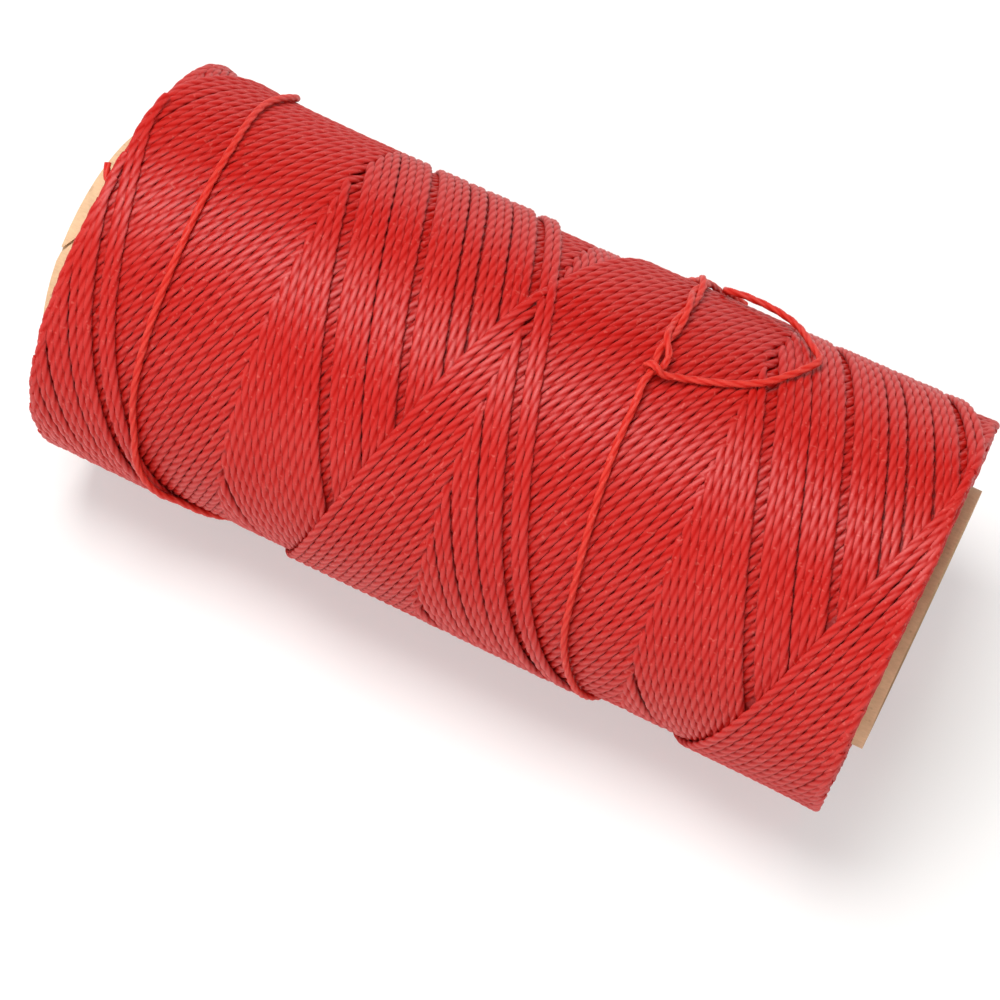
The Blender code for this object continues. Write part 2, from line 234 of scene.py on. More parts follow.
class Package:
    """The winding, laid strand by strand on a map of the surface's radius."""

    def __init__(self, sizes):
        self.sizes = sizes
        self.random = np.random.default_rng(sizes.seed)
        self.cover = sizes.strands_per_cover
        self.advance = sizes.advance * WINDING_LENGTH
        self.across = WINDING_LENGTH / self.advance
        self.radius = sizes.cord_diameter / 2
        self.inner_radius = TUBE_RADIUS + INNER_GAP
        self.growth = (PACKAGE_RADIUS - self.inner_radius) / DOUBLE_PASSES
        self.surface = np.full((ALONG, AROUND), self.inner_radius)
        self.top = np.full((ALONG, AROUND), -1)
        self.columns = (np.arange(ALONG) + 0.5) * CELL - MARGIN
        self.strands = []
        self.lay()

    def rightward_start(self, age):
        """Turn at which the strand of this age towards the right leaves the left end."""
        width = 1 - sum(SLOTS.values()) / self.cover
        place = age + 0.5
        if age < self.cover:
            place = place * width + sum(gap for after, gap in SLOTS.items() if after <= age)
        return NEWEST_RIGHTWARD - place / self.cover

    def lay(self):
        """Lays every pass from the oldest to the newest."""
        self.turning = self.random.normal(0, TURNING_WANDER, 2 * DOUBLE_PASSES + 1)
        for age in range(DOUBLE_PASSES - 1, -1, -1):
            self.lay_pass(age, self.rightward_start(age), True)
            if age > 0:
                start = NEWEST_LEFTWARD - (age - 0.5) / self.cover + self.across
                self.lay_pass(age, start, False)

    def centre_line(self, start, rightward):
        """Turns and distances from the left end along one pass, half of each turn-round included."""
        before, after = (LEFT_DWELL / 2, RIGHT_DWELL / 2)[:: 1 if rightward else -1]
        travelled = self.across + before + after
        turn_length = math.hypot(2 * math.pi * PACKAGE_RADIUS, self.advance)
        count = int(travelled * turn_length / CELL)
        gone = np.linspace(-before, self.across + after, count)
        x = np.clip(gone, 0, self.across) * self.advance
        before_it, after_it = x[MIRRORED_STEPS:0:-1], x[-2:-MIRRORED_STEPS - 2:-1]
        x = blurred(np.concatenate([before_it, x, after_it]), TURNING_BLUR)
        x = x[MIRRORED_STEPS:MIRRORED_STEPS + count]
        passed = (gone - gone[0]) * self.advance
        left = passed[-1] - passed
        beside = (start - gone - INSET_SIDE + 0.5) % 1 - 0.5
        fading = np.exp(-0.5 * (beside / INSET_REACH) ** 2)
        insets = [inset + side * fading for inset, side in zip(END_INSET, SIDE_INSET)]
        first, last = insets[:: 1 if rightward else -1] + np.abs(
            self.turning[len(self.strands):len(self.strands) + 2])[:, None]
        x += first * np.clip(1 - passed / TURNING_REACH, 0, 1)
        x -= last * np.clip(1 - left / TURNING_REACH, 0, 1)
        knots = int(travelled * turn_length / WANDER_LENGTH)
        wander = wandering(self.random, count, WANDER, knots) / (2 * math.pi * PACKAGE_RADIUS)
        return start - gone + wander, x if rightward else WINDING_LENGTH - x

    def lay_pass(self, age, start, rightward):
        """Lays one strand from end to end on the surface, and raises the surface to its back."""
        turn, x = self.centre_line(start, rightward)
        level = PACKAGE_RADIUS - self.growth * age
        along = np.gradient(x)
        around = -np.gradient(turn) * 2 * math.pi * level
        step = np.hypot(along, around)

        def beside(offsets):
            """Cells at these distances beside the strand's centre line."""
            column = column_of(x + offsets[:, None] * around / step)
            cell = cell_round(turn + offsets[:, None] * along / step / (2 * math.pi * level))
            return column, cell

        footing = np.linspace(-FOOTING_SHARE, FOOTING_SHARE, 5) * self.radius
        support = self.surface[beside(footing)] + np.sqrt(self.radius**2 - footing**2)[:, None]
        height = highest_near(support.max(axis=0), TENSION_REACH)
        height = blurred(height, TENSION_REACH) - BEDDING
        expected = self.expected_back(age, turn, x, rightward) - self.radius
        height = expected + UNEVENNESS * np.tanh((height - expected) / UNEVENNESS)
        width = np.linspace(-BACK_SHARE, BACK_SHARE, 9) * self.radius
        back = height + np.sqrt(self.radius**2 - width**2)[:, None]
        cells = beside(width)
        raised = self.surface.copy()
        np.maximum.at(raised, cells, back)
        self.top[raised > self.surface] = len(self.strands)
        self.surface = raised
        self.strands.append({"turn": turn, "x": x, "height": height, "cells": cells})

    def expected_back(self, age, turn, x, rightward):
        """Radius of a new strand's back: the more of the other direction's cover is new, the higher."""
        newest = NEWEST_LEFTWARD if rightward else NEWEST_RIGHTWARD
        slope = 1 if rightward else -1
        other_age = (newest - age / self.cover - turn + slope * x / self.advance) % 1
        level = PACKAGE_RADIUS - self.growth * age
        leaning = np.cos(2 * math.pi * (turn - FAR_SIDE))
        for rise, lean, away in zip(END_RISE, END_LEAN, (x, WINDING_LENGTH - x)):
            level = level + (rise + lean * leaning) * np.exp(-away / END_RISE_REACH)
        return blurred(level + COVER_RELIEF * (1 - other_age), FRONT_WIDTH)


MAP_PADDING = 64  # columns added beyond each end of the map before it is smoothed


def smoothed_map(values, width):
    """A map of the surface under a bell of this width, which wraps round the package."""
    along = np.fft.fftfreq(ALONG + 2 * MAP_PADDING, CELL)[:, None]
    around = np.fft.rfftfreq(AROUND, CELL)
    bell = np.exp(-2 * (math.pi * width) ** 2 * (along**2 + around**2))
    padded = np.pad(values, ((MAP_PADDING, MAP_PADDING), (0, 0)), mode="edge")
    smooth = np.fft.irfft2(np.fft.rfft2(padded) * bell, s=padded.shape)
    return smooth[MAP_PADDING:-MAP_PADDING]


END_DEPTH = 3 * MM  # strands this near an end can show on its face
LEVELS_OVER = 3 * MM  # room over the package's radius, where its ends are thicker
RING_STEP = 2  # steps of a strand between two rings of points
PIECE_TRIANGLES = 185_000  # at most, in one piece of wound strands


def end_face_top(winding, end):
    """Strand seen at each (level, turn) of one end face, and each strand's cells there."""
    levels = int((PACKAGE_RADIUS - winding.inner_radius + LEVELS_OVER) / CELL)
    depth = np.full((levels, AROUND), END_DEPTH)
    top = np.full((levels, AROUND), -1)
    offsets = np.linspace(-0.9, 0.9, 7)[:, None] * winding.radius
    seen_cells = []
    for number, strand in enumerate(winding.strands):
        near = np.abs(strand["x"] - end) < END_DEPTH
        level = (strand["height"][near] + offsets - winding.inner_radius + winding.radius) / CELL
        cells = np.clip(level.astype(int), 0, levels - 1), cell_round(strand["turn"][near])[None]
        cells = np.broadcast_arrays(*cells)
        front = np.abs(strand["x"][near] - end) - np.sqrt(winding.radius**2 - offsets**2)
        nearer = depth.copy()
        np.minimum.at(nearer, tuple(cells), front)
        top[nearer < depth] = number
        depth = nearer
        seen_cells.append((near, tuple(cells)))
    return top, seen_cells


def shown_stretches(winding):
    """Centre lines of the stretches that can be seen, each a little buried at its tips."""
    ends = [end_face_top(winding, end) for end in (0, WINDING_LENGTH)]
    lines = []
    for number, strand in enumerate(winding.strands):
        shown = (winding.top[strand["cells"]] == number).any(axis=0)
        for top, seen_cells in ends:
            near, cells = seen_cells[number]
            shown[near] |= (top[cells] == number).any(axis=0)
        kept = highest_near(shown.astype(int), KEPT_BURIED)
        tips = np.flatnonzero(np.diff(np.concatenate([[0], kept, [0]])))
        for first, last in tips.reshape(-1, 2):
            along = np.arange(first, last, RING_STEP)
            lines.append(place(strand["turn"][along], strand["x"][along], strand["height"][along]))
    return lines


def place(turn, x, radius):
    """Points at turns from the camera line, distances from the left end and radii."""
    angle = 2 * math.pi * (turn + CAMERA_LINE)
    return np.column_stack([
        LEFT_END + x, -radius * np.cos(angle), AXIS_HEIGHT + radius * np.sin(angle)])


def package(context):
    """The winding, laid once and shared by the pieces that lie on it."""
    if not hasattr(package, "laid"):
        package.laid = Package(context.scene.spool.winding)
    return package.laid


# ---------------------------------------------------------------- the loose cord

# The slack last wrap: degrees round the tube, and millimetres along it from the winding's middle.
WRAP_ROUTE = (
    (172.5, -51.7), (157, -48.7), (143, -46.2), (120, -46.4), (97, -45.1), (66, -43.9), (28, -43.3),
    (10, -42.2), (0, -41.4), (-8, -40.2), (-16, -38.4), (-40, -32.5), (-90, -22.0), (-135, -9.5),
    (-180, 5.5), (-204, 12.8),
    (-218, 15.3), (-232, 15.9), (-244, 16.4), (-256, 16.5), (-264, 16.6), (-271, 17.3), (-275.5, 16.7),
    (-281, 16.9), (-296, 17.2), (-330, 19.1), (-349, 20.0), (-372, 22.2), (-410, 25.8), (-450, 29.0),
    (-490, 28.5), (-530, 22.8), (-558, 17.6), (-578, 15.4), (-592, 15.9), (-604, 16.4), (-616, 16.5),
    (-624, 16.6), (-631, 17.3),
)
KNOT_DEGREES = -271  # of the wrap's first passing of the knot, and one turn more of its second
# The hitch round the first passing, in cord diameters from its middle: to the right, back and up.
HITCH_ROUTE = (
    (1.00, 2.30, 0.00), (1.00, 1.50, 0.00), (0.95, 0.90, -0.25), (0.60, 0.45, -0.80), (0.00, 0.20, -1.00),
    (-0.65, 0.05, -0.75), (-0.95, -0.05, 0.00), (-0.62, -0.10, 0.72), (0.00, -0.15, 1.00),
    (0.68, -0.30, 0.75), (1.20, -0.35, 0.12), (1.75, -0.05, -0.25),
)
# The loop that its end is left in: millimetres along, degrees round, and height over the strands.
LOOP_ROUTE = (
    (18.9, 90.2, 0.3), (20.9, 91.6, 0.0), (22.7, 92.9, 0.0), (24.4, 94.3, 0.0), (27.2, 97.1, 0.0),
    (29.8, 101.0, 0.0), (32.0, 107.0, 0.1), (33.5, 112.2, 0.3), (34.2, 116.3, 0.4), (33.6, 119.6, 0.4),
    (32.2, 123.2, 0.4), (29.7, 130.5, 0.5), (27.6, 134.0, 0.7), (25.3, 136.3, 0.8), (23.0, 137.4, 0.8),
    (20.8, 137.9, 0.7), (19.0, 138.6, 0.4), (18.3, 141.0, 0.2), (18.2, 146.0, 0.0), (18.8, 152.0, 0.0),
    (20.4, 158.0, 0.0),
)
LOOSE_DIAMETER = 1.0 * MM  # the cord is rounder and thinner where nothing presses it
LOOSE_SPACING = 0.3 * MM
PAIR_PITCH = 17 * MM  # length in which the two strands above the knot go once round each other
PAIR_LENGTH = 26 * MM
PAIR_SPACING = 0.85 * MM  # between the centre lines of those two
PAIR_FADE = 3 * MM
KNOT_LEVEL_REACH = 2.5 * MM  # each side of the knot the strand stays a diameter up,
KNOT_RISE_REACH = 9 * MM  # and comes down to the winding by here
BURIED_START = 5  # degrees in which the wrap comes out from under the winding
JOINING_LENGTH = 3 * MM
UNDERSIDE = 0.5  # sine of the angle below the axis from which the resting plane counts
FREE_OF_FLOOR = 10.0  # metres, so a radius that the resting plane doesn't limit
DEGREE_LENGTH = math.radians(1) * PACKAGE_RADIUS


def spline_through(points, spacing, scale=1.0):
    """Rows on a Catmull-Rom curve through rows of numbers, evenly spaced by their scaled distance."""
    points = np.asarray(points, float)
    padded = np.vstack([2 * points[0] - points[1], points, 2 * points[-1] - points[-2]])
    share = np.linspace(0, 1, 24, endpoint=False)[:, None]
    rows = [
        0.5 * (2 * start + (end - before) * share + (2 * before - 5 * start + 4 * end - after) * share**2
               + (3 * start - before - 3 * end + after) * share**3)
        for before, start, end, after in zip(padded, padded[1:], padded[2:], padded[3:])]
    fine = np.vstack([*rows, points[-1:]])
    gone = np.concatenate([[0], np.cumsum(np.linalg.norm(np.diff(fine, axis=0) * scale, axis=1))])
    wanted = np.linspace(0, gone[-1], max(2, round(gone[-1] / spacing) + 1))
    return np.column_stack([np.interp(wanted, gone, column) for column in fine.T])


def smooth_share(share):
    """A share held between nought and one, eased at both."""
    share = np.clip(share, 0, 1)
    return share * share * (3 - 2 * share)


def resting_radius(winding, degrees, x):
    """Radius of a loose cord's centre where it lies over the strands, pressed in at the resting line."""
    half = LOOSE_DIAMETER / 2
    sides = np.linspace(-0.7, 0.7, 5)[:, None] * half
    turn = np.broadcast_to(degrees / 360 - CAMERA_LINE, (5, len(degrees)))
    support = winding.surface[column_of(x + sides), cell_round(turn)] + np.sqrt(half**2 - sides**2)
    radius = blurred(highest_near(support.max(axis=0), 3), 5)
    downwards = np.maximum(-np.sin(np.radians(degrees)), UNDERSIDE)
    free = FREE_OF_FLOOR * (downwards <= UNDERSIDE)
    return np.minimum(radius, (AXIS_HEIGHT - half) / downwards + free)


def wrap_line(winding):
    """Centre line of the last wrap: once round alone, and once more to the hitch round itself."""
    scale = (DEGREE_LENGTH / MM, 1.0)
    route = spline_through(WRAP_ROUTE, LOOSE_SPACING / MM, scale)
    degrees, x = route[:, 0], route[:, 1] * MM + WINDING_LENGTH / 2
    radius = resting_radius(winding, degrees, x)
    for side, knot in ((-1, KNOT_DEGREES), (1, KNOT_DEGREES - 360)):
        above = (degrees - knot) * DEGREE_LENGTH
        paired = smooth_share(1 + above / PAIR_FADE) * smooth_share((PAIR_LENGTH - above) / PAIR_FADE)
        turn = 2 * math.pi * np.maximum(above, 0) / PAIR_PITCH
        x = x + side * PAIR_SPACING / 2 * np.cos(turn) * paired
        height = np.abs(np.sin(turn)) + side * np.sin(turn)  # one strand passes over the other
        radius = radius + PAIR_SPACING / 2 * height * paired
        rise = (KNOT_RISE_REACH - np.abs(above)) / (KNOT_RISE_REACH - KNOT_LEVEL_REACH)
        radius = radius + LOOSE_DIAMETER * smooth_share(rise)
    radius = radius - LOOSE_DIAMETER * smooth_share(1 - (degrees[0] - degrees) / BURIED_START)
    return degrees, x, radius


def loose_lines(winding):
    """Centre lines of the last wrap, the hitch and the loop, each from where the one before ends."""
    degrees, x, radius = wrap_line(winding)
    at = np.argmin(np.abs(degrees - KNOT_DEGREES))
    turn = degrees / 360 - CAMERA_LINE
    knot = place(turn[at:at + 1], x[at:at + 1], radius[at:at + 1])[0]
    angle = math.radians(degrees[at])
    right, back, up = np.array((
        (1, 0, 0), (0, math.sin(angle), math.cos(angle)), (0, -math.cos(angle), math.sin(angle))))
    hitch = np.array([
        knot + LOOSE_DIAMETER * (to_right * right + to_back * back + upwards * up)
        for to_right, to_back, upwards in HITCH_ROUTE])
    hitch = spline_through(hitch, LOOSE_SPACING * 0.6)
    arrival = HITCH_ROUTE[0][1] * LOOSE_DIAMETER / DEGREE_LENGTH
    kept = degrees > KNOT_DEGREES - 360 + arrival
    wrap = place(turn[kept], x[kept], radius[kept])
    wrap = joined(wrap[::-1], hitch[0])[::-1]
    loop = spline_through(LOOP_ROUTE, LOOSE_SPACING / MM, (1.0, DEGREE_LENGTH / MM, 1.0))
    along, round_it, lift = loop[:, 0] * MM + WINDING_LENGTH / 2, loop[:, 1], loop[:, 2] * MM
    level = resting_radius(winding, round_it, along) + lift
    loop = joined(place(round_it / 360 - CAMERA_LINE, along, level), hitch[-1])
    return wrap, hitch, loop


def joined(line, start):
    """The line with its start moved to a point, which the rest of it follows less and less."""
    gone = np.concatenate([[0], np.cumsum(np.linalg.norm(np.diff(line, axis=0), axis=1))])
    return line + (start - line[0]) * smooth_share(1 - gone / JOINING_LENGTH)[:, None]


# ---------------------------------------------------------------- node trees


def node(tree, kind, inputs=None, **settings):
    """Adds a node, sets its properties, and fills inputs by name or number with values or sockets."""
    made = tree.nodes.new(kind)
    for name, value in settings.items():
        setattr(made, name, value)
    for name, value in (inputs or {}).items():
        socket = made.inputs[name]
        if isinstance(value, bpy.types.NodeSocket):
            tree.links.new(value, socket)
        else:
            socket.default_value = value
    return made


def maths(tree, operation, *values):
    """A Math node's result."""
    return node(tree, "ShaderNodeMath", dict(enumerate(values)), operation=operation).outputs[0]


def vector_maths(tree, operation, *values):
    """A Vector Math node's result."""
    names = ("Vector", "Scale") if operation == "SCALE" else range(len(values))
    made = node(tree, "ShaderNodeVectorMath", dict(zip(names, values)), operation=operation)
    return made.outputs["Value" if operation == "DOT_PRODUCT" else "Vector"]


def outwards_from(tree, point, axis_point):
    """The direction straight out from the tube's axis at a point."""
    off_axis = vector_maths(tree, "SUBTRACT", point, axis_point)
    off_axis = vector_maths(tree, "MULTIPLY", off_axis, (0.0, 1.0, 1.0))
    return vector_maths(tree, "NORMALIZE", off_axis)


GROOVE_SHARPNESS = 3.5  # power of the sine between two plies: the higher, the narrower the groove


def twisted_cord_tree():
    """Geometry Nodes that turn centre lines into twisted cord, pressed flat where it rests."""
    tree = bpy.data.node_groups.new("Twisted Cord", "GeometryNodeTree")
    face = tree.interface
    face.new_socket("Centre Lines", in_out="INPUT", socket_type="NodeSocketGeometry")
    for name, kind in (
        ("Cord Width", "Float"), ("Pressed Height", "Float"), ("Axis Height", "Float"),
        ("Lay Length", "Float"), ("Plies", "Int"), ("Groove Depth", "Float"), ("Profile Points", "Int"),
        ("Resting Height", "Float"), ("Seed", "Int"), ("Material", "Material"),
    ):
        face.new_socket(name, in_out="INPUT", socket_type="NodeSocket" + kind)
    face.new_socket("Cord", in_out="OUTPUT", socket_type="NodeSocketGeometry")
    given = node(tree, "NodeGroupInput").outputs

    # How far along its centre line each point is, and a number of its own for each line.
    run = node(tree, "GeometryNodeSplineParameter").outputs["Length"]
    line = node(tree, "GeometryNodeCurveOfPoint").outputs["Curve Index"]
    chance = node(tree, "FunctionNodeRandomValue", {"ID": line, "Seed": given["Seed"]}, data_type="FLOAT")
    phase = maths(tree, "MULTIPLY", chance.outputs[1], 2 * math.pi)
    twist = maths(tree, "MULTIPLY", maths(tree, "DIVIDE", run, given["Lay Length"]), 2 * math.pi)
    lines = node(tree, "GeometryNodeSetCurveTilt", {
        0: given["Centre Lines"], "Tilt": maths(tree, "ADD", twist, phase)}).outputs[0]
    lines = stored(tree, lines, "run", "FLOAT", run)
    lines = stored(tree, lines, "strand", "FLOAT", chance.outputs[1])
    position = node(tree, "GeometryNodeInputPosition").outputs[0]
    lines = stored(tree, lines, "centre", "FLOAT_VECTOR", position)

    # The cross section: as many lobes as plies, with a groove between two of them.
    circle = node(tree, "GeometryNodeCurvePrimitiveCircle", {
        "Resolution": given["Profile Points"],
        "Radius": maths(tree, "DIVIDE", given["Cord Width"], 2.0)}).outputs["Curve"]
    share = maths(tree, "DIVIDE", node(tree, "GeometryNodeInputIndex").outputs[0], given["Profile Points"])
    lobe = maths(tree, "MULTIPLY", maths(tree, "MULTIPLY", share, given["Plies"]), math.pi)
    groove = maths(tree, "POWER", maths(tree, "ABSOLUTE", maths(tree, "SINE", lobe)), GROOVE_SHARPNESS)
    inwards = maths(tree, "SUBTRACT", 1.0, maths(tree, "MULTIPLY", groove, given["Groove Depth"]))
    pulled = vector_maths(tree, "SCALE", position, inwards)
    circle = stored(tree, circle, "groove", "FLOAT", groove)
    circle = stored(tree, circle, "across", "FLOAT_VECTOR", position)
    section = node(tree, "GeometryNodeSetPosition", {0: circle, "Position": pulled}).outputs[0]
    cord = node(tree, "GeometryNodeCurveToMesh", {
        "Curve": lines, "Profile Curve": section, "Fill Caps": True}).outputs[0]

    # The strands press each other flatter, towards and away from the tube's axis.
    centre = node(
        tree, "GeometryNodeInputNamedAttribute", {"Name": "centre"}, data_type="FLOAT_VECTOR").outputs[0]
    axis = node(tree, "ShaderNodeCombineXYZ", {"Z": given["Axis Height"]}).outputs[0]
    outwards = outwards_from(tree, centre, axis)
    inside = vector_maths(tree, "SUBTRACT", position, centre)
    height = vector_maths(tree, "DOT_PRODUCT", inside, outwards)
    change = maths(tree, "MULTIPLY", height, maths(tree, "SUBTRACT", given["Pressed Height"], 1.0))
    offset = vector_maths(tree, "SCALE", outwards, change)
    cord = node(tree, "GeometryNodeSetPosition", {0: cord, "Offset": offset}).outputs[0]

    # Nothing goes below the plane that the package rests on.
    at = node(tree, "ShaderNodeSeparateXYZ", {0: position}).outputs
    lifted = maths(tree, "MAXIMUM", at["Z"], given["Resting Height"])
    pressed = node(tree, "ShaderNodeCombineXYZ", {"X": at["X"], "Y": at["Y"], "Z": lifted}).outputs[0]
    cord = node(tree, "GeometryNodeSetPosition", {0: cord, "Position": pressed}).outputs[0]
    cord = node(tree, "GeometryNodeSetShadeSmooth", {0: cord}).outputs[0]
    cord = node(tree, "GeometryNodeRealizeInstances", {0: cord}).outputs[0]
    cord = node(tree, "GeometryNodeSetMaterial", {0: cord, "Material": given["Material"]}).outputs[0]
    node(tree, "NodeGroupOutput", {0: cord})
    return tree


def stored(tree, geometry, name, kind, value):
    """Stores a named value on a geometry's points."""
    return node(tree, "GeometryNodeStoreNamedAttribute", {
        "Geometry": geometry, "Name": name, "Value": value}, data_type=kind, domain="POINT").outputs[0]


def modifier_mesh(carrier, tree, values, name):
    """Runs a tree on a carrier object and returns a plain mesh object of the result."""
    modifier = carrier.modifiers.new("Tree", "NODES")
    modifier.node_group = tree
    for item in tree.interface.items_tree:
        if item.item_type == "SOCKET" and item.in_out == "INPUT" and item.name in values:
            modifier[item.identifier] = values[item.name]
    carrier.update_tag()
    bpy.context.view_layer.update()
    evaluated = carrier.evaluated_get(bpy.context.evaluated_depsgraph_get())
    mesh = bpy.data.meshes.new_from_object(evaluated)
    carrier.modifiers.remove(modifier)
    bpy.data.objects.remove(carrier)
    if not mesh.polygons:
        raise RuntimeError(f"{name}: the node tree made no faces")
    mesh.name = name
    made = bpy.data.objects.new(name, mesh)
    bpy.context.scene.collection.objects.link(made)
    return made


def cord_piece(context, name, lines, width, pressed, loose=False):
    """Twisted cord along centre lines, as one mesh that rides on the spool."""
    sizes = context.scene.spool.winding
    curve = bpy.data.curves.new(name + "_lines", "CURVE")
    curve.dimensions = "3D"
    for line in lines:
        spline = curve.splines.new("POLY")
        spline.points.add(len(line) - 1)
        spline.points.foreach_set("co", np.column_stack([line, np.ones(len(line))]).ravel())
    carrier = bpy.data.objects.new(name + "_lines", curve)
    context.scene.collection.objects.link(carrier)
    tree = bpy.data.node_groups.get("Twisted Cord") or twisted_cord_tree()
    made = modifier_mesh(carrier, tree, {
        "Cord Width": width,
        "Pressed Height": pressed,
        "Axis Height": AXIS_HEIGHT,
        "Lay Length": sizes.lay_length,
        "Plies": sizes.plies,
        "Groove Depth": sizes.groove_depth,
        "Profile Points": sizes.profile_points,
        "Resting Height": 0.0,
        "Seed": sizes.seed,
        "Material": cord_material(context, loose),
    }, name)
    bpy.data.curves.remove(curve)
    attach(made, BODY)
    return made


# ---------------------------------------------------------------- materials


def principled(material, **values):
    """The material's Principled BSDF with constant values on its own sockets."""
    shader = next(n for n in material.node_tree.nodes if n.type == "BSDF_PRINCIPLED")
    for name, value in values.items():
        shader.inputs[name.replace("_", " ")].default_value = value
    return shader


def new_material(name):
    """An empty node material."""
    material = bpy.data.materials.new(name)
    material.use_nodes = True
    return material


def mixed(tree, share, first, second, blend="MIX"):
    """The colour between two colours."""
    made = node(tree, "ShaderNodeMix", data_type="RGBA", blend_type=blend)
    for socket, value in ((made.inputs[0], share), (made.inputs[6], first), (made.inputs[7], second)):
        if isinstance(value, bpy.types.NodeSocket):
            tree.links.new(value, socket)
        else:
            socket.default_value = value if isinstance(value, (int, float)) else (*value, 1.0)[:4]
    return made.outputs[2]


def mapped(tree, value, low, high, to_low=0.0, to_high=1.0):
    """A value stretched from one range to another, and held at the ends."""
    return node(tree, "ShaderNodeMapRange", {
        "Value": value, "From Min": low, "From Max": high, "To Min": to_low, "To Max": to_high,
    }).outputs["Result"]


def noise(tree, vector, scale, detail=2.0, roughness=0.5):
    """A Noise Texture's value."""
    return node(tree, "ShaderNodeTexNoise", {
        "Vector": vector, "Scale": scale, "Detail": detail, "Roughness": roughness}).outputs[0]


def attribute(tree, name, output="Fac"):
    """A value stored on the piece's points."""
    return node(tree, "ShaderNodeAttribute", attribute_name=name).outputs[output]


WAX_BRIDGING = 0.72  # how far the wax film rounds the plies off
WAX_COAT = 0.56  # weight of that film on the crests of wound cord
LOOSE_COAT = 0.2  # and on the crests of loose cord, which it doesn't bridge
FILAMENTS_ACROSS = 9000.0  # noise cells in a metre across the cord
FILAMENTS_ALONG = 1200.0  # and along it
STRAND_SHIFT = 97.0  # noise cells between one strand's filaments and another's
SPECK_SHARE = 0.18


def cord_material(context, loose=False):
    """Waxed polyester cord: red plies, painted groove shade, fine filaments, a thin uneven film of wax."""
    name = "loose_waxed_cord" if loose else "twisted_waxed_cord"
    material = bpy.data.materials.get(name)
    if material:
        return material
    colours = context.scene.spool.finish
    # Wound cord: painted shade darkens its grooves. Loose cord: painted light brightens its crests, and
    # its grooves keep the wound cord's red.
    crest, valley_shade = (colours.lit_loose_cord, colours.cord) if loose else (colours.cord, colours.cord_shade_and_filaments)
    bridging, waxed = (0.0, LOOSE_COAT) if loose else (WAX_BRIDGING, WAX_COAT)
    material = new_material(name)
    tree = material.node_tree
    shader = principled(
        material, Roughness=0.5, IOR=1.45, Specular_IOR_Level=0.1, Coat_Roughness=0.42, Coat_IOR=1.5)
    place_on = node(tree, "ShaderNodeTexCoord").outputs["Object"]
    groove = attribute(tree, "groove")
    strand = attribute(tree, "strand")

    # Filaments run along the cord, so their pattern is stretched that way.
    across = node(tree, "ShaderNodeSeparateXYZ", {0: attribute(tree, "across", "Vector")}).outputs
    run = attribute(tree, "run")
    own_start = maths(tree, "MULTIPLY", strand, STRAND_SHIFT)
    filament_place = node(tree, "ShaderNodeCombineXYZ", {
        "X": maths(tree, "MULTIPLY", across["X"], FILAMENTS_ACROSS),
        "Y": maths(tree, "MULTIPLY", across["Y"], FILAMENTS_ACROSS),
        "Z": maths(tree, "ADD", maths(tree, "MULTIPLY", run, FILAMENTS_ALONG), own_start),
    }).outputs[0]
    filaments = noise(tree, filament_place, 1.0, 2.0, 0.6)

    mottle = noise(tree, place_on, 90.0, 3.0, 0.6)
    specks = mapped(tree, noise(tree, place_on, 1600.0, 1.0, 0.5), 0.66, 0.74)
    # Painted shade: the colour darkens towards the valley colour down in the grooves.
    colour = mixed(tree, mapped(tree, groove, 0.15, 1.0), crest, valley_shade)
    colour = mixed(tree, mapped(tree, filaments, 0.35, 0.7, 0.0, 0.25), colour, colours.cord_shade_and_filaments)
    wax = maths(tree, "MULTIPLY", mapped(tree, mottle, 0.35, 0.75, 0.0, 0.07),
                mapped(tree, groove, 0.0, 0.8, 1.0, 0.15))
    colour = mixed(tree, wax, colour, colours.wax)
    colour = mixed(tree, maths(tree, "MULTIPLY", specks, SPECK_SHARE), colour, colours.wax)
    tree.links.new(colour, shader.inputs["Base Color"])
    tree.links.new(mapped(tree, mottle, 0.3, 0.7, 0.32, 0.46), shader.inputs["Roughness"])
    bump = node(tree, "ShaderNodeBump", {"Height": filaments, "Strength": 0.35, "Distance": 0.00008})
    tree.links.new(bump.outputs[0], shader.inputs["Normal"])

    # The wax bridges the plies, so its own surface is closer to the package's roundness.
    outwards = outwards_from(tree, place_on, (0.0, 0.0, AXIS_HEIGHT))
    film = node(tree, "ShaderNodeMix", {0: bridging, 4: bump.outputs[0], 5: outwards}, data_type="VECTOR")
    film = vector_maths(tree, "NORMALIZE", film.outputs[1])
    tree.links.new(film, shader.inputs["Coat Normal"])
    tree.links.new(mapped(tree, groove, 0.1, 0.8, waxed, 0.1), shader.inputs["Coat Weight"])
    return material


def paper_material(context, name, painted_shade=0.0):
    """Kraft paper: a warm brown sheet with short fibres, clouds and small flecks, darkened by painted
    shade.
    """
    colours = context.scene.spool.finish
    material = new_material(name)
    tree = material.node_tree
    shader = principled(material, Roughness=0.82, IOR=1.4)
    where = node(tree, "ShaderNodeTexCoord").outputs["Object"]
    stretched = node(tree, "ShaderNodeMapping", {"Vector": where, "Scale": (0.35, 1.0, 1.0)}).outputs[0]
    clouds = noise(tree, where, 140.0, 4.0, 0.6)
    fibres = noise(tree, stretched, 2600.0, 3.0, 0.7)
    flecks = mapped(tree, noise(tree, where, 900.0, 1.0, 0.5), 0.68, 0.76)
    colour = mixed(tree, mapped(tree, clouds, 0.3, 0.7, 0.0, 0.35), colours.paper,
                   colours.paper_fibre_and_shade)
    colour = mixed(tree, mapped(tree, fibres, 0.35, 0.7, 0.0, 0.3), colour, colours.paper_fibre_and_shade)
    colour = mixed(tree, maths(tree, "MULTIPLY", flecks, 0.4), colour, colours.paper_fibre_and_shade)
    # Painted shade: the whole sheet darkens by the given share.
    colour = mixed(tree, painted_shade, colour, colours.paper_fibre_and_shade)
    tree.links.new(colour, shader.inputs["Base Color"])
    bump = node(tree, "ShaderNodeBump", {"Height": fibres, "Strength": 0.4, "Distance": 0.00006})
    tree.links.new(bump.outputs[0], shader.inputs["Normal"])
    return material


# ---------------------------------------------------------------- pieces


